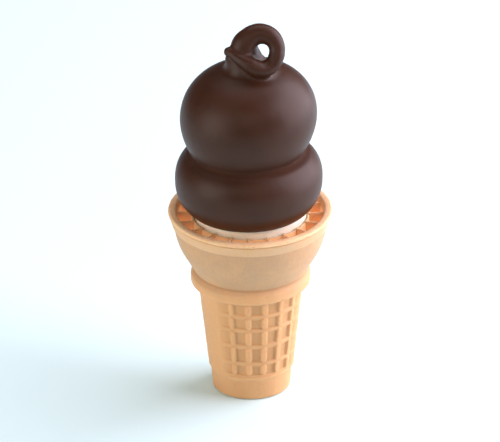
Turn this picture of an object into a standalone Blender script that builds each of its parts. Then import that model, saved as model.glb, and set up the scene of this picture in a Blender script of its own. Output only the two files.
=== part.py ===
"""Chocolate-dipped soft ice cream in a moulded wafer cone.

Metres, +Z up.  The origin is the centre of the flat base that the cone stands on,
the front is -Y and the right is +X.
"""

import math

import bmesh
import bpy
from mathutils import Vector

MM = 0.001
GAP = 0.3 * MM
FULL_TURN = 2 * math.pi

# Wafer cone: outside, from the base up.
BASE_EDGE = 1.0 * MM
BASE_RADIUS = 15.25 * MM
BASE_RING_TOP = 8.0 * MM
BASE_RING_RADIUS = 15.85 * MM
WAFFLE_FOOT = 10.0 * MM
WAFFLE_FOOT_RADIUS = 16.75 * MM
WAFFLE_TAPER = 0.111
WAFFLE_TOP = 44.6 * MM
COLLAR_LOW_EDGE = 46.4 * MM
COLLAR_MIDDLE = 47.8 * MM
COLLAR_RADIUS = 23.55 * MM
NOTCH = 51.4 * MM
NOTCH_RADIUS = 22.4 * MM
BAND_FOOT = 70.9 * MM
BAND_FOOT_RADIUS = 30.4 * MM
LIP_TOP = 77.0 * MM
LIP_RADIUS = 32.45 * MM
LIP_THICKNESS = 3.45 * MM

# Wafer cone: waffle pattern of recessed cells between raised bars, each row of cells
# as (bottom, top) in millimetres.
CONE_STEPS = 54
COLUMNS = 18
STEPS_PER_COLUMN = CONE_STEPS // COLUMNS
BAR_ANGLE = math.radians(-3.4)
CELL_ROWS = ((11.1, 15.8), (17.2, 23.6), (25.3, 31.2), (32.5, 37.4), (39.1, 43.9))
CELL_WALL = 0.4 * MM
CELL_DEPTH = 1.0 * MM

# Wafer cone: inner ring, ribs and the pockets between them.
RING_RADIUS = 22.4 * MM
RING_THICKNESS = 0.9 * MM
RING_TOP = 74.7 * MM
RIB_TOP = 75.5 * MM
RIBS = 20
RIB_THICKNESS = 0.8 * MM
RIB_ANGLE = math.radians(-1.7)
POCKET_FLOOR = 68.0 * MM
POCKET_RADIUS_LOW = 27.9 * MM
POCKET_RADIUS_HIGH = 28.8 * MM

# Wafer cone: cavity that holds the ice cream, as (radius, height) in millimetres.
CAVITY_FLOOR = 3.0 * MM
CAVITY_WALL = ((13.9, 3.0), (14.3, 6.0), (18.2, 45.0), (19.6, 54.0), (21.9, 67.0), (22.4, 74.7))

# Ice cream: undipped band, then two stacked lobes.
BAND_TOP = 77.8 * MM
BAND_TOP_RADIUS = 22.6 * MM
COAT_EDGE = BAND_TOP + GAP
COAT = 1.2 * MM
# Each lobe: widest radius, its height, reach above, reach below, roundness above and below.
LOWER_LOBE = (29.05 * MM, 90.9 * MM, 16.8 * MM, 18.7 * MM, 2.4, 2.4)
UPPER_LOBE = (26.98 * MM, 117.55 * MM, 22.08 * MM, 28.7 * MM, 2.19, 1.8)
LOBES_TOP = UPPER_LOBE[1] + UPPER_LOBE[2]
CREASE = 102.8 * MM
CREASE_FILLET = 1.8 * MM
# Each lobe leans a little: sideways shift at its widest height, and drift per unit of height.
LOWER_LEAN = (-0.45 * MM, 0.025)
UPPER_LEAN = (-0.42 * MM, 0.045)
LOBE_STEPS = 32
CORE_STEPS = 28

# Curl on top: a flared neck, a thick rope that loops over to the right and back down
# to the front, and a tail that crosses the neck's front and ends in a small tip.
NECK_STEPS = 20
NECK_RADIUS = 5.0 * MM
NECK_FLARE = 4.9 * MM
NECK_FLARE_HEIGHT = 5.0 * MM
NECK_FOOT = 136.5 * MM
NECK_SHOULDER = 149.5 * MM
NECK_TOP = 152.0 * MM
NECK_CENTRE_LOW = (-0.6, 0.3)
NECK_CENTRE_HIGH = (-1.4, 0.3)
# Centre lines as (right, back, height, radius), in millimetres.
LOOP = (
    (-1.8, -1.0, 142.9, 5.4),
    (-2.0, -1.5, 147.1, 5.6),
    (-1.6, -1.5, 150.2, 5.2),
    (0.2, -1.2, 152.6, 4.5),
    (2.5, -0.8, 154.3, 4.1),
    (5.2, -0.8, 154.7, 3.95),
    (8.5, -1.6, 153.5, 3.6),
    (10.5, -2.8, 151.2, 3.35),
    (11.1, -4.2, 148.5, 3.2),
    (10.5, -5.7, 146.0, 3.2),
    (8.7, -7.0, 143.8, 3.3),
    (6.2, -8.2, 142.8, 3.45),
    (3.6, -8.8, 142.9, 3.5),
    (1.5, -8.8, 143.9, 2.5),
)
TAIL = (
    (7.0, -7.9, 143.1, 2.2),
    (5.2, -8.5, 142.8, 3.1),
    (3.0, -8.8, 143.0, 3.6),
    (0.3, -8.6, 144.8, 3.3),
    (-2.4, -8.0, 146.9, 2.6),
    (-5.0, -6.6, 148.2, 1.95),
    (-7.1, -4.8, 148.4, 1.65),
    (-8.4, -3.2, 148.0, 1.4),
)
ROPE_SECTION = 2
ROPE_RESOLUTION = 2


def clear_scene():
    """Remove every object of the open scene."""
    for thing in list(bpy.data.objects):
        bpy.data.objects.remove(thing, do_unlink=True)


def surface(name, colour, roughness):
    """A Principled material of one colour."""
    material = bpy.data.materials.new(name)
    material.use_nodes = True
    shader = material.node_tree.nodes["Principled BSDF"]
    shader.inputs["Base Color"].default_value = (*colour, 1.0)
    shader.inputs["Roughness"].default_value = roughness
    shader.inputs["Metallic"].default_value = 0.0
    return material


def add_object(name, bm, material=None):
    """Turn a bmesh into a smooth-shaded object of the scene."""
    bmesh.ops.recalc_face_normals(bm, faces=bm.faces)
    mesh = bpy.data.meshes.new(name)
    bm.to_mesh(mesh)
    bm.free()
    mesh.shade_smooth()
    mesh.set_sharp_from_angle(angle=math.radians(35))
    if material:
        mesh.materials.append(material)
    thing = bpy.data.objects.new(name, mesh)
    bpy.context.scene.collection.objects.link(thing)
    return thing


def hide_tool(thing):
    """Mark an object as a shape used only to cut or join others."""
    thing.hide_render = True
    thing.display_type = "WIRE"


def combine(thing, tool, operation):
    """Add an exact Boolean with a tool object, which may fold into itself at a tight bend."""
    modifier = thing.modifiers.new(tool.name, "BOOLEAN")
    modifier.operation = operation
    modifier.solver = "EXACT"
    modifier.use_self = True
    modifier.object = tool


def turned(profile, steps, start=0.0):
    """Spin (radius, height) points about Z, the first of them at a given angle from -Y."""
    bm = bmesh.new()
    direction = Vector((math.sin(start), -math.cos(start), 0.0))
    ring = [bm.verts.new(direction * radius + Vector((0, 0, height))) for radius, height in profile]
    edges = [bm.edges.new(pair) for pair in zip(ring, ring[1:])]
    bmesh.ops.spin(
        bm,
        geom=ring + edges,
        cent=(0, 0, 0),
        axis=(0, 0, 1),
        angle=FULL_TURN,
        steps=steps,
        use_merge=True,
    )
    bmesh.ops.remove_doubles(bm, verts=bm.verts, dist=0.001 * MM)
    bmesh.ops.recalc_face_normals(bm, faces=bm.faces)
    return bm


def smooth_step(value, low, high):
    """Rise smoothly from 0 at low to 1 at high."""
    t = min(max((value - low) / (high - low), 0.0), 1.0)
    return t * t * (3 - 2 * t)


# ---------------------------------------------------------------- wafer cone


def waffle_radius(height):
    """Radius of the bar tops on the tapering cup."""
    return WAFFLE_FOOT_RADIUS + WAFFLE_TAPER * (height - WAFFLE_FOOT)


def cone_profile():
    """Outline of the cone from the middle of the base, over the lip, to the cavity floor."""
    points = [
        (0.0, 0.0),
        (BASE_RADIUS - BASE_EDGE, 0.0),
        (BASE_RADIUS - 0.3 * BASE_EDGE, 0.3 * BASE_EDGE),
        (BASE_RADIUS, BASE_EDGE),
        (BASE_RING_RADIUS, BASE_RING_TOP),
        (WAFFLE_FOOT_RADIUS, WAFFLE_FOOT),
    ]
    for row in CELL_ROWS:
        points += [(waffle_radius(edge * MM), edge * MM) for edge in row]
    points += [
        (waffle_radius(WAFFLE_TOP), WAFFLE_TOP),
        (COLLAR_RADIUS - 0.3 * MM, COLLAR_LOW_EDGE),
        (COLLAR_RADIUS, COLLAR_MIDDLE),
        (COLLAR_RADIUS - 0.25 * MM, COLLAR_MIDDLE + 1.3 * MM),
        (NOTCH_RADIUS, NOTCH),
    ]
    # The bowl flares straight at first, then turns upright towards the rim band.
    bowl_height = BAND_FOOT - NOTCH
    bowl_reach = BAND_FOOT_RADIUS - NOTCH_RADIUS
    for share in (0.32, 0.55, 0.76):
        reach = bowl_reach * (1.30 * share - 0.30 * share**3.6)
        points.append((NOTCH_RADIUS + reach, NOTCH + bowl_height * share))
    inner = LIP_RADIUS - LIP_THICKNESS
    points += [
        (BAND_FOOT_RADIUS, BAND_FOOT),
        (BAND_FOOT_RADIUS + 0.35 * MM, BAND_FOOT + 0.4 * MM),
        (LIP_RADIUS - 0.4 * MM, LIP_TOP - 1.8 * MM),
        (LIP_RADIUS, LIP_TOP - 1.0 * MM),
        (LIP_RADIUS - 0.6 * MM, LIP_TOP - 0.15 * MM),
        (LIP_RADIUS - 1.5 * MM, LIP_TOP),
        (inner + 0.6 * MM, LIP_TOP - 0.4 * MM),
        (inner, RIB_TOP),
        (RING_RADIUS + RING_THICKNESS, RING_TOP + 0.1 * MM),
    ]
    points += [(radius * MM, height * MM) for radius, height in reversed(CAVITY_WALL)]
    points.append((0.0, CAVITY_FLOOR))
    return points


def sink_cells(bm):
    """Recess the waffle cells, two faces wide, leaving a bar one face wide between columns."""
    cells = {}
    for face in bm.faces:
        centre = face.calc_center_median()
        angle = math.atan2(centre.x, -centre.y) - BAR_ANGLE
        step = round(angle / FULL_TURN * CONE_STEPS) % CONE_STEPS
        column, place = divmod(step, STEPS_PER_COLUMN)
        outer = centre.xy.length > waffle_radius(centre.z) - CELL_DEPTH
        for row, (low, high) in enumerate(CELL_ROWS):
            if outer and place and low * MM < centre.z < high * MM:
                cells.setdefault((row, column), []).append(face)
    for faces in cells.values():
        bmesh.ops.inset_region(
            bm,
            faces=faces,
            thickness=CELL_WALL,
            depth=-CELL_DEPTH,
            use_boundary=True,
            use_even_offset=True,
        )


def pocket_tool():
    """Wedges that hollow out the space between each pair of ribs."""
    bm = bmesh.new()
    pitch = FULL_TURN / RIBS
    low = RING_RADIUS + RING_THICKNESS
    middle = (low + POCKET_RADIUS_HIGH) / 2
    width = pitch - RIB_THICKNESS / middle
    for rib in range(RIBS):
        angle = RIB_ANGLE + rib * pitch + (pitch - width) / 2
        direction = Vector((math.sin(angle), -math.cos(angle), 0.0))
        section = (
            (low, POCKET_FLOOR),
            (POCKET_RADIUS_LOW, POCKET_FLOOR),
            (POCKET_RADIUS_HIGH, RIB_TOP + 1.5 * MM),
            (low, RIB_TOP + 1.5 * MM),
        )
        corners = [bm.verts.new(direction * radius + Vector((0, 0, height))) for radius, height in section]
        face = bm.faces.new(corners)
        bmesh.ops.spin(
            bm,
            geom=corners + list(face.edges) + [face],
            cent=(0, 0, 0),
            axis=(0, 0, 1),
            angle=width,
            steps=2,
        )
    tool = add_object("pocket_shapes", bm)
    hide_tool(tool)
    return tool


def make_cone():
    """Moulded wafer cone with its waffle cup, collar, bowl, ring, ribs and pockets."""
    half_step = FULL_TURN / CONE_STEPS / 2
    bm = turned(cone_profile(), CONE_STEPS, BAR_ANGLE - half_step)
    sink_cells(bm)
    cone = add_object("cone", bm, surface("wafer", (0.73, 0.43, 0.19), 0.75))
    combine(cone, pocket_tool(), "DIFFERENCE")


# ----------------------------------------------------- ice cream and its coat


def lobe_radius(height, lobe, inset):
    """Radius of one rounded lobe, drawn in by an inset."""
    radius, middle, above, below, round_above, round_below = lobe
    reach = (above if height > middle else below) - inset
    power = round_above if height > middle else round_below
    share = min(abs(height - middle) / reach, 1.0)
    return (radius - inset) * (1 - share**power) ** (1 / power)


def serving_radius(height, inset=0.0):
    """Radius of the two stacked lobes, with a fillet in the crease between them."""
    low = lobe_radius(height, LOWER_LOBE, inset)
    high = lobe_radius(height, UPPER_LOBE, inset)
    share = min(max(0.5 + 0.5 * (low - high) / CREASE_FILLET, 0.0), 1.0)
    return high + (low - high) * share + CREASE_FILLET * share * (1 - share)


def serving_profile(start, inset=0.0, fine=1.0):
    """Outline of the lobes from a starting height to the pole."""
    top = UPPER_LOBE[1] + UPPER_LOBE[2] - inset
    lower = [start + (CREASE - start) * t for t in spread(round(9 * fine))]
    upper = [CREASE + (top - CREASE) * math.sin(t * math.pi / 2) for t in spread(round(10 * fine))]
    heights = lower + upper[1:-1]
    return [(serving_radius(height, inset), height) for height in heights] + [(0.0, top)]


def spread(count):
    """Evenly spaced shares from 0 to 1."""
    return [index / count for index in range(count + 1)]


def lean(height):
    """Sideways drift of the serving's middle at a height."""
    low = LOWER_LEAN[0] + LOWER_LEAN[1] * (height - LOWER_LOBE[1])
    high = UPPER_LEAN[0] + UPPER_LEAN[1] * (height - UPPER_LOBE[1])
    share = smooth_step(height, CREASE - 2 * MM, CREASE + 2 * MM)
    return (low + (high - low) * share) * smooth_step(height, RING_TOP, COAT_EDGE)


def lean_over(bm):
    """Shift each point of a turned serving by the drift at its height."""
    for vert in bm.verts:
        vert.co.x += lean(vert.co.z)


def make_ice_cream():
    """Ice cream that fills the cone, shows as a pale band and runs up through the coat."""
    points = [(0.0, CAVITY_FLOOR + GAP)]
    points += [(radius * MM - GAP, max(height * MM, CAVITY_FLOOR + GAP)) for radius, height in CAVITY_WALL]
    points.append((BAND_TOP_RADIUS, BAND_TOP))
    points += serving_profile(BAND_TOP, COAT + GAP, 0.7)
    bm = turned(points, CORE_STEPS)
    lean_over(bm)
    add_object("ice_cream", bm, surface("vanilla", (0.83, 0.72, 0.56), 0.5))


def neck_tool():
    """Flared neck that rises from the upper lobe and ends in a dome inside the loop."""
    points = [(0.0, NECK_FOOT)]
    for share in spread(7):
        height = NECK_FOOT + (NECK_SHOULDER - NECK_FOOT) * share
        flare = NECK_FLARE * math.exp(-(height - LOBES_TOP) / NECK_FLARE_HEIGHT)
        points.append((NECK_RADIUS + flare, height))
    for share in (0.4, 0.8):
        radius = points[8][0] * math.sqrt(1 - share**2)
        points.append((radius, NECK_SHOULDER + (NECK_TOP - NECK_SHOULDER) * share))
    points.append((0.0, NECK_TOP))
    bm = turned(points, NECK_STEPS)
    low = Vector((*NECK_CENTRE_LOW, 0.0)) * MM
    high = Vector((*NECK_CENTRE_HIGH, 0.0)) * MM
    for vert in bm.verts:
        vert.co += low.lerp(high, smooth_step(vert.co.z, NECK_FOOT, NECK_SHOULDER))
    tool = add_object("neck_shape", bm)
    hide_tool(tool)
    return tool


def rope_tool(name, points):
    """Rope swept along a smooth line with a radius at each point."""
    curve = bpy.data.curves.new(name, "CURVE")
    curve.dimensions = "3D"
    curve.bevel_depth = MM
    curve.bevel_resolution = ROPE_SECTION
    curve.resolution_u = ROPE_RESOLUTION
    curve.use_fill_caps = True
    spline = curve.splines.new("BEZIER")
    spline.bezier_points.add(len(points) - 1)
    for point, (right, back, height, radius) in zip(spline.bezier_points, points):
        point.co = (right * MM, back * MM, height * MM)
        point.radius = radius
        point.handle_left_type = "AUTO"
        point.handle_right_type = "AUTO"
    line = bpy.data.objects.new(name + "_line", curve)
    bpy.context.scene.collection.objects.link(line)
    bpy.context.view_layer.update()
    bm = bmesh.new()
    bm.from_mesh(line.to_mesh())
    line.to_mesh_clear()
    bpy.data.objects.remove(line, do_unlink=True)
    bmesh.ops.remove_doubles(bm, verts=bm.verts, dist=0.001 * MM)
    tool = add_object(name, bm)
    hide_tool(tool)
    return tool


def coat_inside():
    """Space inside the coat, open at its lower edge."""
    start = COAT_EDGE - 1.5 * MM
    inner = serving_profile(COAT_EDGE, COAT, 0.7)
    points = [(0.0, start), (inner[0][0], start)] + inner
    bm = turned(points, CORE_STEPS)
    lean_over(bm)
    tool = add_object("coat_inside", bm)
    hide_tool(tool)
    return tool


def make_chocolate():
    """Chocolate coat over both lobes, with the curl on top."""
    bm = turned([(0.0, COAT_EDGE)] + serving_profile(COAT_EDGE), LOBE_STEPS)
    lean_over(bm)
    chocolate = add_object("chocolate", bm, surface("chocolate", (0.06, 0.03, 0.02), 0.4))
    combine(chocolate, neck_tool(), "UNION")
    combine(chocolate, rope_tool("loop_shape", LOOP), "UNION")
    combine(chocolate, rope_tool("tail_shape", TAIL), "UNION")
    combine(chocolate, coat_inside(), "DIFFERENCE")


clear_scene()
make_cone()
make_ice_cream()
make_chocolate()
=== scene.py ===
"""Dipped soft ice cream in a moulded wafer cone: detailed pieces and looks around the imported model."""

import math

import bmesh
import bpy
import numpy as np
from bpy.props import FloatProperty, FloatVectorProperty, IntProperty, PointerProperty
from mathutils import Matrix, Vector, noise


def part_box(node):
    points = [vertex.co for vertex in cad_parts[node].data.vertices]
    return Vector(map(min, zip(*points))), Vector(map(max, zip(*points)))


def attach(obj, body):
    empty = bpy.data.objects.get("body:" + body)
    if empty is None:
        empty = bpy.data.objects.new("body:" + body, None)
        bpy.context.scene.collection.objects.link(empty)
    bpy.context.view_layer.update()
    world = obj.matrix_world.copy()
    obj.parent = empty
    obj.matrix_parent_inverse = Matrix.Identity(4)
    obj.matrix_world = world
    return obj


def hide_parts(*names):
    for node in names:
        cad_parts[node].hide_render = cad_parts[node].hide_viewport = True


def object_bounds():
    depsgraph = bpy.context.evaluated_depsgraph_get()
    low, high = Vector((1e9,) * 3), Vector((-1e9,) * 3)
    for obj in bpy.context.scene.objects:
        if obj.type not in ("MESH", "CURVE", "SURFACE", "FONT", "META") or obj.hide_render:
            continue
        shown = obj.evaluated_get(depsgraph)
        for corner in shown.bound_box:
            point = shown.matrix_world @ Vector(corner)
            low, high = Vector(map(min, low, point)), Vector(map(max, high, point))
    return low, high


bl_info = {
    "name": "Dipped Ice Cream Cone",
    "version": (1, 0, 0),
    "blender": (4, 5, 0),
    "location": "3D View > Sidebar > Ice Cream",
    "description": "Builds a dipped soft ice cream in a moulded wafer cone, and a studio for it",
    "category": "Object",
}

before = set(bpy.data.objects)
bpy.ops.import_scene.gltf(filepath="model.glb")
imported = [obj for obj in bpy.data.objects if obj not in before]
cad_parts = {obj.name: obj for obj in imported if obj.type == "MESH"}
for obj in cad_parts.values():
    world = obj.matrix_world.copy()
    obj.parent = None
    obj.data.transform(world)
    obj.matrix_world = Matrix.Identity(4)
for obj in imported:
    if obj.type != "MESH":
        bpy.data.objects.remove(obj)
CAD_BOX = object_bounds()
CONE_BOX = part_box("cone")
COAT_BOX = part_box("chocolate")

MM = 0.001
FULL_TURN = 2 * math.pi

# Wafer cone, heights and radii in millimetres above the middle of the base.
LIP_RADIUS = CONE_BOX[1].x / MM
LIP_TOP = CONE_BOX[1].z / MM
WAFFLE_FOOT = 9.9
WAFFLE_FOOT_RADIUS = 16.74
WAFFLE_TAPER = 0.111
WAFFLE_TOP = 44.5
RING_INNER = 22.4
RING_OUTER = 23.3
RING_TOP = 74.7
POCKET_FLOOR = 69.5
POCKET_OUTER = 28.85
COLUMNS = 18
BAR_ANGLE = math.radians(-3.4)
PULL_ANGLE = math.radians(16)
CROSS_BARS = ((10.7, 0.75), (16.5, 1.1), (24.45, 1.2), (31.85, 1.1), (38.25, 1.2), (44.9, 1.3))
RIBS = 20
RIB_TOP = 75.2
RIB_ANGLE = math.radians(-1.7)

# Serving, in millimetres: widest radius, its height, reach above, reach below, roundness.
LOWER_LOBE = (29.05, 90.9, 16.8, 18.7, 2.4, 2.4)
UPPER_LOBE = (26.98, 117.55, 22.08, 28.7, 2.19, 1.8)
LOBES_TOP = UPPER_LOBE[1] + UPPER_LOBE[2]
LOWER_LEAN = (-0.45, 0.025)
UPPER_LEAN = (-0.42, 0.06)
CREASE = 102.8
CREASE_FILLET = 0.4
COAT_EDGE = COAT_BOX[0].z / MM
BAND_TOP = COAT_EDGE - 0.3
BAND_RADIUS = 22.6

# Curl: neck and ropes, as (right, back, height, radius) in millimetres.
NECK_OUTLINE = (
    (0.0, 134.0, 0),
    (17.0, 135.4, 0),
    (9.8, 138.4, 10.0),
    (4.7, 149.5, 2.0),
    (2.4, 152.0, 2.0),
    (0.0, 152.4, 0),
)
NECK_BEND = (137.5, 144.0)
NECK_CENTRE = (-1.9, 0.3)
LOOP = (
    (-1.8, -1.0, 142.9, 5.4),
    (-2.0, -1.5, 147.1, 5.6),
    (-1.6, -1.5, 150.2, 5.2),
    (0.2, -1.2, 152.6, 4.5),
    (2.5, -0.8, 154.2, 4.05),
    (5.2, -0.8, 154.4, 4.05),
    (8.5, -1.6, 153.4, 3.75),
    (10.5, -2.8, 151.2, 3.35),
    (11.1, -4.2, 148.5, 3.2),
    (10.5, -5.7, 146.0, 3.2),
    (8.7, -7.0, 143.5, 3.2),
    (6.2, -8.2, 142.5, 3.35),
    (3.6, -8.8, 142.9, 3.5),
    (1.5, -8.8, 143.9, 2.5),
)
TAIL = (
    (7.0, -7.9, 143.1, 2.2),
    (5.2, -8.5, 142.8, 3.1),
    (3.0, -8.8, 143.2, 3.5),
    (0.3, -8.7, 144.7, 3.15),
    (-1.7, -8.2, 145.7, 2.6),
    (-3.6, -7.3, 146.5, 2.2),
    (-5.8, -5.6, 147.5, 1.85),
    (-7.9, -4.0, 148.1, 2.05),
)


# ------------------------------------------------------------------ settings


class ConeSettings(bpy.types.PropertyGroup):
    """Sizes and colours of the wafer cone."""

    steps: IntProperty(
        name="Steps", description="Steps round the cone", default=360, min=90, max=720
    )
    cell_depth: FloatProperty(
        name="Cell Depth",
        description="How far the waffle cells lie below the bar tops",
        default=1.12 * MM,
        unit="LENGTH",
    )
    cross_bar_height: FloatProperty(
        name="Cross Bar Height",
        description="Height of the level bars above the cell floors",
        default=0.6 * MM,
        unit="LENGTH",
    )
    bar_half_width: FloatProperty(
        name="Bar Half Width",
        description="Half the width of an upright bar at its foot",
        default=1.38 * MM,
        unit="LENGTH",
    )
    rib_thickness: FloatProperty(
        name="Rib Thickness",
        description="Thickness of the ribs between the ring and the rim",
        default=0.8 * MM,
        unit="LENGTH",
    )
    # Partly the rim's own paler tone, partly painted light that makes the lip and band paler than the
    # bowl below.
    rim: FloatVectorProperty(
        name="Rim",
        description="Colour of the lip and rim band",
        default=(0.86, 0.58, 0.34),
        subtype="COLOR",
    )
    # Partly the bowl's own duller tone, partly painted shade where the bowl faces down.
    crust: FloatVectorProperty(
        name="Crust",
        description="Colour of the bowl",
        default=(0.545, 0.335, 0.19),
        subtype="COLOR",
    )
    toast: FloatVectorProperty(
        name="Toast",
        description="Colour of the cup and collar, and of browner patches",
        default=(0.73, 0.405, 0.19),
        subtype="COLOR",
    )
    # Besides pores, this colour paints shade: in the notch above the collar, on the waffle cell floors
    # and over the foot below the waffle.
    pore_and_shade: FloatVectorProperty(
        name="Pore And Shade",
        description="Colour of pores and of the browned notch above the collar",
        default=(0.50, 0.25, 0.10),
        subtype="COLOR",
    )
    # Partly a deeper baked orange, partly painted light that brightens the pockets in place of light
    # coming through the thin walls.
    recess_and_light: FloatVectorProperty(
        name="Recess And Light",
        description="Colour deep in the pockets",
        default=(1.0, 0.58, 0.30),
        subtype="COLOR",
    )
    # Painted glow: emission deep in the pockets that stands in for light soaking through the thin walls;
    # the wafer is no lamp.
    glow: FloatVectorProperty(
        name="Glow",
        description="Warm light that soaks through the thin walls of the pockets",
        default=(0.165, 0.115, 0.06),
        subtype="COLOR",
    )


class ServingSettings(bpy.types.PropertyGroup):
    """Sizes and colours of the ice cream and its coat."""

    coat: FloatProperty(
        name="Coat", description="Thickness of the coat", default=1.2 * MM, unit="LENGTH"
    )
    voxel: FloatProperty(
        name="Voxel",
        description="Grid size used to fuse the lobes, neck and curl",
        default=0.6 * MM,
        unit="LENGTH",
    )
    cream: FloatVectorProperty(
        name="Cream",
        description="Colour of the ice cream",
        default=(0.99, 0.96, 0.81),
        subtype="COLOR",
    )
    coat_dark: FloatVectorProperty(
        name="Coat Dark",
        description="Main colour of the coat",
        default=(0.041, 0.0130, 0.0050),
        subtype="COLOR",
    )
    coat_warm: FloatVectorProperty(
        name="Coat Warm",
        description="Warmer colour in faint patches of the coat",
        default=(0.050, 0.0165, 0.007),
        subtype="COLOR",
    )


class StudioSettings(bpy.types.PropertyGroup):
    """Floor, light and camera."""

    floor: FloatVectorProperty(
        name="Floor", description="Colour of the floor", default=(0.72, 0.93, 0.95), subtype="COLOR"
    )
    elevation: FloatProperty(
        name="Elevation",
        description="Height of the camera above the horizon",
        default=math.radians(27.2),
        subtype="ANGLE",
    )
    roll: FloatProperty(
        name="Roll", description="Roll of the camera", default=math.radians(0.46), subtype="ANGLE"
    )
    width: FloatProperty(
        name="Width", description="Width that the camera sees", default=196.46 * MM, unit="LENGTH"
    )


# ----------------------------------------------------------------- mesh tools


def turned(profile, steps):
    """Spin (radius, height) points in millimetres about Z, closing the poles."""
    bm = bmesh.new()
    ring = [bm.verts.new((0.0, -radius * MM, height * MM)) for radius, height in profile]
    edges = [bm.edges.new(pair) for pair in zip(ring, ring[1:])]
    bmesh.ops.spin(
        bm,
        geom=ring + edges,
        cent=(0, 0, 0),
        axis=(0, 0, 1),
        angle=FULL_TURN,
        steps=steps,
        use_merge=True,
    )
    bmesh.ops.remove_doubles(bm, verts=bm.verts, dist=0.001 * MM)
    bmesh.ops.recalc_face_normals(bm, faces=bm.faces)
    return bm


def filleted(corners, arc_steps=6):
    """Outline through (radius, height, fillet) corners, each fillet an arc."""
    points = [Vector(corners[0][:2])]
    for before, here, after in zip(corners, corners[1:], corners[2:]):
        middle, fillet = Vector(here[:2]), here[2]
        to_before = (Vector(before[:2]) - middle).normalized()
        to_after = (Vector(after[:2]) - middle).normalized()
        half = to_before.angle(to_after) / 2
        if fillet == 0 or half > math.radians(89.5):
            points.append(middle)
            continue
        centre = middle + (to_before + to_after).normalized() * fillet / math.sin(half)
        start = middle + to_before * fillet / math.tan(half) - centre
        end = middle + to_after * fillet / math.tan(half) - centre
        sweep = start.angle_signed(end)
        count = arc_steps if fillet > 0.6 else 2
        for step in range(count + 1):
            turn = Matrix.Rotation(-sweep * step / count, 2)
            points.append(centre + turn @ start)
    points.append(Vector(corners[-1][:2]))
    return points


def divided(points, spacing):
    """The same outline with no stretch longer than a spacing."""
    result = [points[0]]
    for a, b in zip(points, points[1:]):
        count = max(1, math.ceil((b - a).length / spacing - 0.01))
        result += [a.lerp(b, (step + 1) / count) for step in range(count)]
    return result


def add_piece(name, bm, material, node):
    """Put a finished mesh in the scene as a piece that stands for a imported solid."""
    mesh = bpy.data.meshes.new(name)
    bm.to_mesh(mesh)
    bm.free()
    mesh.shade_smooth()
    mesh.materials.append(material)
    piece = bpy.data.objects.new(name, mesh)
    bpy.context.scene.collection.objects.link(piece)
    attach(piece, "root")
    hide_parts(node)
    return piece


def smooth_step(value, low, high):
    """Rise smoothly from 0 at low to 1 at high."""
    t = min(max((value - low) / (high - low), 0.0), 1.0)
    return t * t * (3 - 2 * t)


# ---------------------------------------------------------------- shader tools


class Value:
    """A shader value that takes part in Python arithmetic."""

    def __init__(self, surface, socket):
        self.surface = surface
        self.socket = socket

    def math(self, operation, *others):
        """A Math node on this value and others."""
        inputs = dict(enumerate((self, *others)))
        node = self.surface.add("ShaderNodeMath", {"operation": operation}, inputs)
        return Value(self.surface, node.outputs[0])

    def __add__(self, other):
        return self.math("ADD", other)

    def __sub__(self, other):
        return self.math("SUBTRACT", other)

    def __rsub__(self, other):
        return (self * -1.0).math("ADD", other)

    def __mul__(self, other):
        return self.math("MULTIPLY", other)

    __radd__ = __add__
    __rmul__ = __mul__

    def rise(self, low, high):
        """Smooth rise from 0 at low to 1 at high."""
        node = self.surface.add(
            "ShaderNodeMapRange",
            {"interpolation_type": "SMOOTHSTEP"},
            {"Value": self, "From Min": low, "From Max": high},
        )
        return Value(self.surface, node.outputs["Result"])


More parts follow.
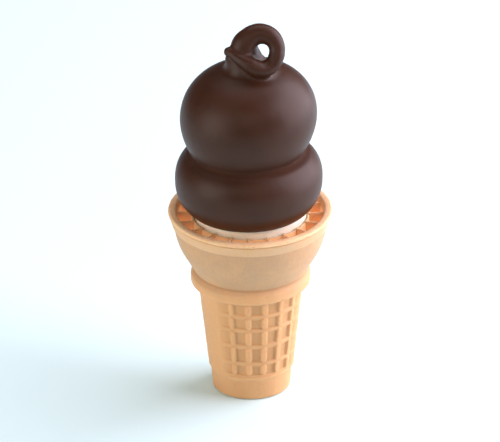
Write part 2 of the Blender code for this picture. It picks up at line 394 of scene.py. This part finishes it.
class Surface:
    """A material with a Principled shader and coordinates in millimetres."""

    def __init__(self, name):
        self.material = bpy.data.materials.new(name)
        self.material.use_nodes = True
        self.nodes = self.material.node_tree.nodes
        self.shader = self.nodes["Principled BSDF"]
        place = self.add("ShaderNodeTexCoord")
        mapping = self.add(
            "ShaderNodeMapping",
            inputs={"Vector": place.outputs["Object"], "Scale": (1000.0, 1000.0, 1000.0)},
        )
        self.place = mapping.outputs["Vector"]

    def add(self, kind, settings=None, inputs=None):
        """A node of a kind, with its settings made before its inputs."""
        node = self.nodes.new(kind)
        for key, value in (settings or {}).items():
            setattr(node, key, value)
        for key, value in (inputs or {}).items():
            self.feed(node.inputs[key], value)
        return node

    def feed(self, socket, value):
        """Link a value to a socket, or set it there."""
        if isinstance(value, Value):
            value = value.socket
        if isinstance(value, bpy.types.NodeSocket):
            self.material.node_tree.links.new(value, socket)
        else:
            socket.default_value = value

    def cloud(self, scale, detail=2.0, stretch=(1.0, 1.0, 1.0)):
        """Soft noise with a number of features per millimetre."""
        place = self.place
        if stretch != (1.0, 1.0, 1.0):
            place = self.add("ShaderNodeMapping", inputs={"Vector": place, "Scale": stretch}).outputs[0]
        inputs = {"Vector": place, "Scale": scale, "Detail": detail}
        return Value(self, self.add("ShaderNodeTexNoise", inputs=inputs).outputs["Fac"])

    def pits(self, scale, size):
        """Small round pits, 1 in a pit and 0 between."""
        cells = self.add("ShaderNodeTexVoronoi", inputs={"Vector": self.place, "Scale": scale})
        return 1.0 - Value(self, cells.outputs["Distance"]).rise(size * 0.4, size)

    def attribute(self, name):
        """A number kept on the mesh."""
        node = self.add("ShaderNodeAttribute", {"attribute_name": name})
        return Value(self, node.outputs["Fac"])

    def mix(self, share, low, high):
        """One colour going over to another."""
        inputs = {"Factor": share, 6: as_colour(low), 7: as_colour(high)}
        node = self.add("ShaderNodeMix", {"data_type": "RGBA"}, inputs)
        return node.outputs[2]

    def height(self):
        """Height above the floor, in millimetres."""
        split = self.add("ShaderNodeSeparateXYZ", inputs={"Vector": self.place})
        return Value(self, split.outputs["Z"])

    def bump(self, height, distance, strength=1.0):
        """Fine relief of a height in millimetres."""
        inputs = {"Height": height, "Distance": distance * MM, "Strength": strength}
        return self.add("ShaderNodeBump", inputs=inputs).outputs["Normal"]

    def finish(self, **inputs):
        """Feed the shader's sockets, given with underscores for spaces."""
        for name, value in inputs.items():
            self.feed(self.shader.inputs[name.replace("_", " ").title().replace("Ior", "IOR")], value)
        return self.material


def as_colour(value):
    """A colour with its alpha, or the socket it comes from."""
    return value if isinstance(value, bpy.types.NodeSocket) else (*value, 1.0)


# ------------------------------------------------------------------ wafer cone


def wafer_material(sizes):
    """Baked wafer: pale skin with browner patches, fine grain and small pores; painted shade partly
    darkening the bowl, and in the notch, on the cell floors and over the foot; painted light partly
    paling the rim and brightening the pockets; and a painted glow in the pockets.
    """
    wafer = Surface("wafer_crust")
    patches = wafer.cloud(0.11, 3.0).rise(0.38, 0.68)
    streaks = wafer.cloud(0.9, 3.0, (1.0, 1.0, 0.35)).rise(0.3, 0.75)
    grain = wafer.cloud(3.2, 3.0)
    pores = wafer.pits(0.9, 0.28) * wafer.cloud(0.35).rise(0.45, 0.62)
    depth = wafer.attribute("depth")
    height = wafer.height() + patches * 2.5
    # Bowl above the collar darker: partly its own tone, partly painted shade where it faces down.
    skin = wafer.mix(height.rise(48.0, 53.0), sizes.toast, sizes.crust)
    # Painted shade: darker over the foot below the waffle.
    skin = wafer.mix(1.0 - wafer.height().rise(7.0, 10.0) * 0.25 - 0.75, skin, sizes.pore_and_shade)
    # Rim band half and lip top fully paler: partly their own tone, partly painted light on the upper rim.
    lip = wafer.height().rise(70.4, 71.3) * 0.5 + wafer.height().rise(75.0, 75.6) * 0.5
    skin = wafer.mix(lip, skin, sizes.rim)
    skin = wafer.mix(patches * 0.28 + streaks * 0.25, skin, sizes.toast)
    # Painted shade in the notch above the collar.
    notch = 1.0 - (wafer.height() - 51.4).math("ABSOLUTE").rise(0.1, 0.9)
    skin = wafer.mix(notch * 0.6, skin, sizes.pore_and_shade)
    # Painted shade on the sunk waffle cell floors.
    skin = wafer.mix(wafer.attribute("cell") * 0.3, skin, sizes.pore_and_shade)
    # Deep in the pockets: a deeper baked orange that is partly painted light through the thin walls.
    colour = wafer.mix(depth, skin, sizes.recess_and_light)
    colour = wafer.mix(pores * 0.5, colour, sizes.pore_and_shade)
    relief = grain * 0.5 + streaks * 0.3 - pores * 0.8
    return wafer.finish(
        base_color=colour,
        roughness=grain * 0.2 + 0.58,
        normal=wafer.bump(relief, 0.12, 0.7),
        specular_ior_level=0.3,
        subsurface_weight=0.5,
        subsurface_radius=(1.0, 0.7, 0.45),
        subsurface_scale=2.0 * MM,
        # Painted glow deep in the pockets, standing in for light through the thin walls.
        emission_color=wafer.mix(depth, (0.0, 0.0, 0.0), sizes.glow),
        emission_strength=1.0,
    )


def cone_profile():
    """Outline of the cone from the middle of the base, over the lip, to the cavity floor."""
    top_radius = WAFFLE_FOOT_RADIUS + WAFFLE_TAPER * (WAFFLE_TOP - WAFFLE_FOOT)
    foot = filleted(
        [
            (0.0, 0.0, 0),
            (15.2, 0.0, 1.1),
            (15.86, 8.1, 0.8),
            (WAFFLE_FOOT_RADIUS, WAFFLE_FOOT, 0.5),
            (top_radius, WAFFLE_TOP, 0),
        ]
    )
    collar = filleted(
        [
            (top_radius, WAFFLE_TOP, 0),
            (23.55, 45.9, 1.3),
            (23.6, 49.4, 1.5),
            (22.15, 51.5, 0.2),
            (28.95, 63.3, 30.0),
            (30.25, 70.7, 0.25),
            (30.8, 71.1, 0.25),
            (31.9, 74.9, 0.1),
            (31.45, 75.15, 0.08),
            (31.5, 75.3, 0.08),
            (LIP_RADIUS, 75.6, 0.5),
            (LIP_RADIUS, LIP_TOP, 0.95),
            (29.4, LIP_TOP - 0.1, 0.6),
            (POCKET_OUTER, 75.3, 0.5),
            (27.9, POCKET_FLOOR, 1.0),
            (RING_OUTER + 0.1, POCKET_FLOOR, 1.0),
            (RING_OUTER, RING_TOP, 0.35),
            (RING_INNER, RING_TOP, 0.35),
            (21.9, 67.0, 0),
            (19.6, 54.0, 0),
            (18.2, 45.0, 0),
            (14.3, 6.0, 0),
            (13.9, 3.0, 0),
            (0.0, 3.0, 0),
        ]
    )
    rim_end = next(index for index, point in enumerate(collar) if point.y == 67.0)
    outside = divided(foot[:8], 4.0)[:-1] + divided(foot[7:], 0.35)
    return outside + divided(collar[: rim_end + 1], 1.0)[1:] + collar[rim_end + 1 :]


def waffle_height(angle, height, radius, sizes):
    """Relief above the cell floors, from 0 on a floor to 1 on top of an upright bar.

    The cells get shallower towards the two lines where the mould parts.
    """
    pitch = FULL_TURN / COLUMNS
    across = abs((angle - BAR_ANGLE + pitch / 2) % pitch - pitch / 2) * radius
    half_width = sizes.bar_half_width / MM
    level = 0.0
    for (low, _), (high, _) in zip(CROSS_BARS, CROSS_BARS[1:]):
        middle = (low + high) / 2 + 0.25
        reach = (high - low) / 2 - half_width - 0.35
        along = max(abs(height - middle) - reach, 0.0)
        edge = (half_width - math.hypot(across, along)) / 0.6
        level = max(level, 1 - (1 - min(max(edge, 0.0), 1.0)) ** 2)
    share = sizes.cross_bar_height / sizes.cell_depth
    for middle, half_height in CROSS_BARS:
        edge = (half_height - abs(height - middle)) / 0.5
        level = max(level, share * (1 - (1 - min(max(edge, 0.0), 1.0)) ** 2))
    fade = smooth_step(abs(math.sin(angle - PULL_ANGLE)), 0.69, 0.85)
    return level + (1 - level) * 0.9 * fade


def press_waffle(bm, sizes):
    """Press the waffle cells into the tapering cup and keep each point's depth, which drives painted
    shade on the cell floors and painted light and glow deep in the pockets.
    """
    depth = bm.verts.layers.float.new("depth")
    cell = bm.verts.layers.float.new("cell")
    for vert in bm.verts:
        radius, height = vert.co.xy.length / MM, vert.co.z / MM
        outer = WAFFLE_FOOT_RADIUS + WAFFLE_TAPER * (height - WAFFLE_FOOT) - 0.1
        if WAFFLE_FOOT + 0.05 < height < WAFFLE_TOP + 0.05 and radius > outer:
            angle = math.atan2(vert.co.x, -vert.co.y)
            sunk = 1 - waffle_height(angle, height, radius, sizes)
            sunk *= smooth_step(height, WAFFLE_FOOT, WAFFLE_FOOT + 0.5)
            vert.co.xy *= 1 - sunk * sizes.cell_depth / MM / radius
            # How far the point sank, which drives the painted shade on the cell floors.
            vert[cell] = sunk
        # Depth in the pockets, which drives the painted light and painted glow there.
        in_pocket = RING_OUTER - 0.3 < radius < POCKET_OUTER + 0.1
        if in_pocket and POCKET_FLOOR - 0.1 < height < RING_TOP + 0.6:
            vert[depth] = smooth_step(RING_TOP + 0.6 - height, 0.0, 2.5)


def roughen(bm, scale, amount):
    """Sink points by soft noise, up to an amount, scale in features per millimetre."""
    for vert in bm.verts:
        sunk = 0.5 + 0.5 * noise.noise(vert.co * scale / MM)
        vert.co -= vert.normal * sunk * amount * MM


class ICECREAM_OT_wafer_shell(bpy.types.Operator):
    """Wafer cone with its waffle cup, collar, bowl, rim band, lip, pockets and ring"""

    bl_idname = "icecream.wafer_shell"
    bl_label = "Wafer Shell"

    def execute(self, context):
        sizes = context.scene.ice_cream_cone
        bm = turned(cone_profile(), sizes.steps)
        press_waffle(bm, sizes)
        bm.normal_update()
        roughen(bm, 0.25, 0.1)
        material = wafer_material(sizes)
        add_piece("wafer_shell", bm, material, "cone")
        return {"FINISHED"}


def is_along(edge):
    """Whether an edge of a rib runs from the ring to the rim."""
    a, b = edge.verts
    return abs(a.co.y - b.co.y) > abs(a.co.x - b.co.x) + abs(a.co.z - b.co.z)


def rib_shape(sizes):
    """One rib at the front, thicker at its ends, with a rounded top."""
    thickness = sizes.rib_thickness
    length = (POCKET_OUTER - RING_OUTER + 0.7) * MM
    height = (RIB_TOP - POCKET_FLOOR + 0.5) * MM
    bm = bmesh.new()
    bmesh.ops.create_cube(bm, size=1.0)
    bmesh.ops.scale(bm, vec=(thickness, length, height), verts=bm.verts)
    bmesh.ops.subdivide_edges(bm, edges=[edge for edge in bm.edges if is_along(edge)], cuts=9)
    for vert in bm.verts:
        share = abs(vert.co.y) / (length / 2)
        vert.co.x *= 1 + 1.1 * share**5
        if vert.co.z > 0:
            vert.co.z += thickness * (0.35 * share**5 - 0.3 * vert.co.y / length)
    top = [edge for edge in bm.edges if is_along(edge) and edge.verts[0].co.z > 0]
    bmesh.ops.bevel(
        bm,
        geom=top,
        offset=thickness * 0.35,
        segments=3,
        profile=0.5,
        affect="EDGES",
        material=-1,
    )
    middle = Vector((0, -(RING_OUTER + POCKET_OUTER) / 2, (RIB_TOP + POCKET_FLOOR - 0.5) / 2))
    bmesh.ops.translate(bm, vec=middle * MM, verts=bm.verts)
    return bm


class ICECREAM_OT_wafer_ribs(bpy.types.Operator):
    """Thin ribs that join the inner ring to the rim"""

    bl_idname = "icecream.wafer_ribs"
    bl_label = "Wafer Ribs"

    def execute(self, context):
        sizes = context.scene.ice_cream_cone
        shape = rib_shape(sizes)
        single = bpy.data.meshes.new("rib")
        shape.to_mesh(single)
        shape.free()
        bm = bmesh.new()
        for rib in range(RIBS):
            done = set(bm.verts)
            bm.from_mesh(single)
            turn = Matrix.Rotation(RIB_ANGLE + rib * FULL_TURN / RIBS, 3, "Z")
            bmesh.ops.rotate(bm, matrix=turn, verts=[vert for vert in bm.verts if vert not in done])
        # Depth below the ring top, which drives the painted light and painted glow deep in the pockets.
        depth = bm.verts.layers.float.new("depth")
        for vert in bm.verts:
            vert[depth] = smooth_step(RING_TOP - vert.co.z / MM, 0.0, 2.5)
        bmesh.ops.recalc_face_normals(bm, faces=bm.faces)
        material = bpy.data.materials.get("wafer_crust") or wafer_material(sizes)
        add_piece("wafer_ribs", bm, material, "cone")
        return {"FINISHED"}


# ------------------------------------------------------- ice cream and its coat


def lobe_radius(height, lobe, inset):
    """Radius of one rounded lobe, drawn in by an inset."""
    radius, middle, above, below, round_above, round_below = lobe
    reach = (above if height > middle else below) - inset
    power = round_above if height > middle else round_below
    share = min(abs(height - middle) / reach, 1.0)
    return (radius - inset) * (1 - share**power) ** (1 / power)


def wider(one, other, fillet):
    """The larger of two radii, with a fillet where they meet."""
    share = min(max(0.5 + 0.5 * (one - other) / fillet, 0.0), 1.0)
    return other + (one - other) * share + fillet * share * (1 - share)


def serving_radius(height, inset=0.0):
    """Radius of the two stacked lobes, with a fillet in the crease between them."""
    low = lobe_radius(height, LOWER_LOBE, inset)
    high = lobe_radius(height, UPPER_LOBE, inset)
    return wider(low, high, CREASE_FILLET)


def serving_profile(start, inset=0.0, steps=40):
    """Outline of the lobes from a starting height to the pole."""
    top = LOBES_TOP - inset
    lower = [start + (CREASE - start) * step / steps for step in range(steps)]
    upper = [CREASE + (top - CREASE) * math.sin(step / steps * math.pi / 2) for step in range(steps)]
    return [Vector((serving_radius(z, inset), z)) for z in lower + upper] + [Vector((0.0, top))]


def lean(height):
    """Sideways drift of the serving's middle at a height."""
    low = LOWER_LEAN[0] + LOWER_LEAN[1] * (height - LOWER_LOBE[1])
    high = UPPER_LEAN[0] + UPPER_LEAN[1] * (height - UPPER_LOBE[1])
    share = smooth_step(height, CREASE - 2, CREASE + 2)
    return (low + (high - low) * share) * smooth_step(height, RING_TOP, COAT_EDGE)


def lean_over(bm):
    """Shift each point of a turned serving by the drift at its height."""
    for vert in bm.verts:
        vert.co.x += lean(vert.co.z / MM) * MM


def neck_shape():
    """Tapering neck that flows out of the upper lobe and ends in a dome inside the loop."""
    bm = turned(divided(filleted(NECK_OUTLINE, 10), 0.6), 72)
    for vert in bm.verts:
        height = vert.co.z / MM
        middle = Vector((lean(height), 0.0)).lerp(Vector(NECK_CENTRE), smooth_step(height, *NECK_BEND))
        vert.co.xy += middle * MM
    return bm


def rope_shape(name, points):
    """Rope swept along a smooth line with a radius at each point, and a round end."""
    curve = bpy.data.curves.new(name, "CURVE")
    curve.dimensions = "3D"
    curve.bevel_depth = MM
    curve.bevel_resolution = 8
    curve.resolution_u = 10
    curve.use_fill_caps = True
    spline = curve.splines.new("BEZIER")
    spline.bezier_points.add(len(points) - 1)
    for point, (right, back, height, radius) in zip(spline.bezier_points, points):
        point.co = (right * MM, back * MM, height * MM)
        point.radius = radius
        point.handle_left_type = "AUTO"
        point.handle_right_type = "AUTO"
    line = bpy.data.objects.new(name, curve)
    bpy.context.scene.collection.objects.link(line)
    bpy.context.view_layer.update()
    bm = bmesh.new()
    bm.from_mesh(line.to_mesh())
    line.to_mesh_clear()
    bpy.data.objects.remove(line, do_unlink=True)
    right, back, height, radius = points[-1]
    tip = Matrix.Translation(Vector((right, back, height)) * MM)
    bmesh.ops.create_icosphere(bm, subdivisions=3, radius=radius * MM, matrix=tip)
    return bm


def fused(shapes, voxel):
    """One closed skin round several overlapping shapes."""
    joined = bpy.data.meshes.new("shapes")
    bm = bmesh.new()
    for shape in shapes:
        shape.to_mesh(joined)
        shape.free()
        bm.from_mesh(joined)
    bm.to_mesh(joined)
    bm.free()
    holder = bpy.data.objects.new("shapes", joined)
    bpy.context.scene.collection.objects.link(holder)
    remesh = holder.modifiers.new("Remesh", "REMESH")
    remesh.mode = "VOXEL"
    remesh.voxel_size = voxel
    skin = bmesh.new()
    skin.from_object(holder, bpy.context.evaluated_depsgraph_get())
    bpy.data.objects.remove(holder, do_unlink=True)
    return skin


def pool_creases(bm, above, rounds):
    """Let the coat gather in the hollows above a height, as a liquid does before it sets."""
    bm.verts.ensure_lookup_table()
    bm.verts.index_update()
    points = np.array([vert.co for vert in bm.verts])
    edges = np.array([[vert.index for vert in edge.verts] for edge in bm.edges])
    both = np.concatenate([edges, edges[:, ::-1]])
    links = np.bincount(both[:, 0], minlength=len(points))[:, None]
    free = (points[:, 2] > above)[:, None]
    faces = np.array([[vert.index for vert in face.verts[:3]] for face in bm.faces])
    for _ in range(rounds):
        total = np.zeros_like(points)
        for axis in range(3):
            total[:, axis] = np.bincount(both[:, 0], points[both[:, 1], axis], len(points))
        step = total / links - points
        a, b, c = (points[faces[:, corner]] for corner in range(3))
        across = np.cross(b - a, c - a)
        normal = np.zeros_like(points)
        for corner in range(3):
            for axis in range(3):
                normal[:, axis] += np.bincount(faces[:, corner], across[:, axis], len(points))
        normal /= np.linalg.norm(normal, axis=1, keepdims=True) + 1e-12
        outward = (step * normal).sum(axis=1, keepdims=True)
        weight = np.where(outward > 0, 0.9, 0.02)
        points += step * weight * free
    for vert, point in zip(bm.verts, points):
        vert.co = point


def coat_material(sizes):
    """Set coat: dark satin brown with faint clouds and a barely uneven surface."""
    coat = Surface("satin_coat")
    clouds = coat.cloud(0.07, 3.0).rise(0.35, 0.7)
    ripple = coat.cloud(0.16, 2.0, (1.0, 1.0, 0.6))
    fine = coat.cloud(1.8, 3.0)
    crease = 1.0 - (coat.height() - CREASE).math("ABSOLUTE").rise(0.4, 1.8)
    return coat.finish(
        base_color=coat.mix(clouds, sizes.coat_dark, sizes.coat_warm),
        roughness=fine * 0.08 + clouds * 0.06 + crease * 0.5 + 0.38,
        normal=coat.bump(ripple * 1.0 + fine * 0.03, 0.25, 0.5),
        specular_ior_level=0.25,
    )


class ICECREAM_OT_coat(bpy.types.Operator):
    """Dark coat over both lobes, fused with the curl on top"""

    bl_idname = "icecream.coat"
    bl_label = "Coat"

    def execute(self, context):
        sizes = context.scene.ice_cream_serving
        thickness = sizes.coat / MM
        outer = serving_profile(COAT_EDGE + 0.35, 0.0, 60)
        inner = serving_profile(COAT_EDGE + 0.35, thickness, 60)
        edge = [inner[0], Vector((inner[0].x + 0.2, COAT_EDGE)), Vector((outer[0].x - 0.35, COAT_EDGE))]
        lobes = turned(inner[::-1] + edge[1:] + outer, 180)
        lean_over(lobes)
        shapes = [lobes, neck_shape(), rope_shape("loop", LOOP), rope_shape("tail", TAIL)]
        bm = fused(shapes, sizes.voxel)
        pool_creases(bm, 128 * MM, 10)
        add_piece("dark_coat", bm, coat_material(sizes), "chocolate")
        return {"FINISHED"}


def cream_material(sizes):
    """Soft ice cream: pale cream with faint level strokes."""
    cream = Surface("soft_cream")
    strokes = cream.cloud(0.5, 3.0, (0.25, 0.25, 3.0))
    fine = cream.cloud(2.5, 2.0)
    shade = tuple(channel * 0.92 for channel in sizes.cream)
    return cream.finish(
        base_color=cream.mix(strokes.rise(0.3, 0.7), sizes.cream, shade),
        roughness=fine * 0.1 + 0.42,
        normal=cream.bump(strokes + fine * 0.2, 0.2, 0.6),
        subsurface_weight=0.5,
        subsurface_radius=(1.0, 0.8, 0.6),
        subsurface_scale=0.5 * MM,
    )


class ICECREAM_OT_cream(bpy.types.Operator):
    """Ice cream that fills the cone, shows as a pale band and runs up through the coat"""

    bl_idname = "icecream.cream"
    bl_label = "Ice Cream"

    def execute(self, context):
        sizes = context.scene.ice_cream_serving
        gap = 0.3
        inside = serving_profile(COAT_EDGE, sizes.coat / MM + gap, 24)
        corners = [
            (0.0, 3.3, 0),
            (13.6, 3.3, 0),
            (14.0, 6.0, 0),
            (17.9, 45.0, 0),
            (19.3, 54.0, 0),
            (21.6, 67.0, 0),
            (RING_INNER - gap, RING_TOP - 0.6, 0.8),
            (BAND_RADIUS, BAND_TOP, 0.5),
            (inside[0].x, BAND_TOP, 0.1),
            (inside[0].x, COAT_EDGE, 0),
        ]
        profile = divided(filleted(corners), 3.0)[:-1] + inside
        bm = turned(profile, 160)
        lean_over(bm)
        add_piece("cream_core", bm, cream_material(sizes), "ice_cream")
        return {"FINISHED"}


# ----------------------------------------------------------------------- stage


def aim(thing, place, target, roll=0.0):
    """Put a lamp or camera at a place, looking at a target."""
    towards = (target - place).to_track_quat("-Z", "Y").to_matrix()
    thing.matrix_world = Matrix.Translation(place) @ (towards @ Matrix.Rotation(roll, 3, "Z")).to_4x4()


def around(azimuth, elevation, distance):
    """A point at a distance, its azimuth counted from the front towards the right."""
    azimuth, elevation = math.radians(azimuth), math.radians(elevation)
    level = math.cos(elevation) * distance
    return Vector((math.sin(azimuth) * level, -math.cos(azimuth) * level, math.sin(elevation) * distance))


def add_softbox(name, azimuth, elevation, distance, size, power, tint, target):
    """A soft rectangular lamp that looks at a target."""
    lamp = bpy.data.lights.new(name, "AREA")
    lamp.shape = "RECTANGLE"
    lamp.size, lamp.size_y = size
    lamp.energy = power
    lamp.color = tint
    box = bpy.data.objects.new(name, lamp)
    bpy.context.scene.collection.objects.link(box)
    aim(box, target + around(azimuth, elevation, distance), target)


class ICECREAM_OT_studio(bpy.types.Operator):
    """Pale floor, soft light and the camera"""

    bl_idname = "icecream.studio"
    bl_label = "Studio"

    def execute(self, context):
        scene = context.scene
        sizes = scene.ice_cream_studio
        middle = Vector((0, 0, (CAD_BOX[0].z + CAD_BOX[1].z) / 2))

        bm = bmesh.new()
        bmesh.ops.create_grid(bm, x_segments=1, y_segments=1, size=6.0)
        mesh = bpy.data.meshes.new("floor")
        bm.to_mesh(mesh)
        bm.free()
        paint = Surface("floor_paint")
        tone = paint.mix(paint.cloud(0.002), sizes.floor, tuple(c * 0.97 for c in sizes.floor))
        mesh.materials.append(paint.finish(base_color=tone, roughness=0.9))
        floor = bpy.data.objects.new("floor", mesh)
        scene.collection.objects.link(floor)

        add_softbox("key", 100, 25, 0.9, (1.3, 1.15), 26.5, (0.96, 0.88, 1.0), middle)
        add_softbox("fill", -63, 14, 0.9, (0.6, 0.7), 5.0, (1.0, 0.91, 0.86), middle)
        add_softbox("front", -4, 36, 1.0, (1.0, 0.4), 1.9, (1.0, 0.90, 0.78), middle)
        add_softbox("back", -172, 70, 1.1, (1.0, 0.7), 4.6, (1.0, 0.94, 0.97), middle)

        world = bpy.data.worlds.new("studio_air")
        world.use_nodes = True
        air = world.node_tree.nodes["Background"]
        air.inputs["Color"].default_value = (0.86, 0.95, 1.0, 1.0)
        air.inputs["Strength"].default_value = 0.06
        scene.world = world
        scene.view_settings.view_transform = "Standard"

        camera = bpy.data.cameras.new("camera")
        camera.type = "ORTHO"
        camera.ortho_scale = sizes.width
        eye = bpy.data.objects.new("camera", camera)
        scene.collection.objects.link(eye)
        target = Vector((-0.12, 0.0, 71.26)) * MM
        place = target + around(0.0, math.degrees(sizes.elevation), 1.0)
        aim(eye, place, target, -sizes.roll)
        scene.camera = eye
        return {"FINISHED"}


# -------------------------------------------------------------------- the file


class ICECREAM_PT_panel(bpy.types.Panel):
    """Buttons for each piece and for the studio."""

    bl_idname = "ICECREAM_PT_panel"
    bl_label = "Ice Cream Cone"
    bl_space_type = "VIEW_3D"
    bl_region_type = "UI"
    bl_category = "Ice Cream"

    def draw(self, context):
        for operator in OPERATORS:
            self.layout.operator(operator.bl_idname)


OPERATORS = (
    ICECREAM_OT_wafer_shell,
    ICECREAM_OT_wafer_ribs,
    ICECREAM_OT_cream,
    ICECREAM_OT_coat,
    ICECREAM_OT_studio,
)
SETTINGS = {
    "ice_cream_cone": ConeSettings,
    "ice_cream_serving": ServingSettings,
    "ice_cream_studio": StudioSettings,
}


def register():
    """Make the settings, operators and panel known."""
    for name, group in SETTINGS.items():
        bpy.utils.register_class(group)
        setattr(bpy.types.Scene, name, PointerProperty(type=group))
    for item in (*OPERATORS, ICECREAM_PT_panel):
        bpy.utils.register_class(item)


def unregister():
    """Undo register."""
    for item in (ICECREAM_PT_panel, *reversed(OPERATORS)):
        bpy.utils.unregister_class(item)
    for name, group in SETTINGS.items():
        delattr(bpy.types.Scene, name)
        bpy.utils.unregister_class(group)


def main():
    """Build every piece and the studio."""
    register()
    bpy.ops.icecream.wafer_shell()
    bpy.ops.icecream.wafer_ribs()
    bpy.ops.icecream.cream()
    bpy.ops.icecream.coat()
    bpy.ops.icecream.studio()


if __name__ == "__main__":
    main()
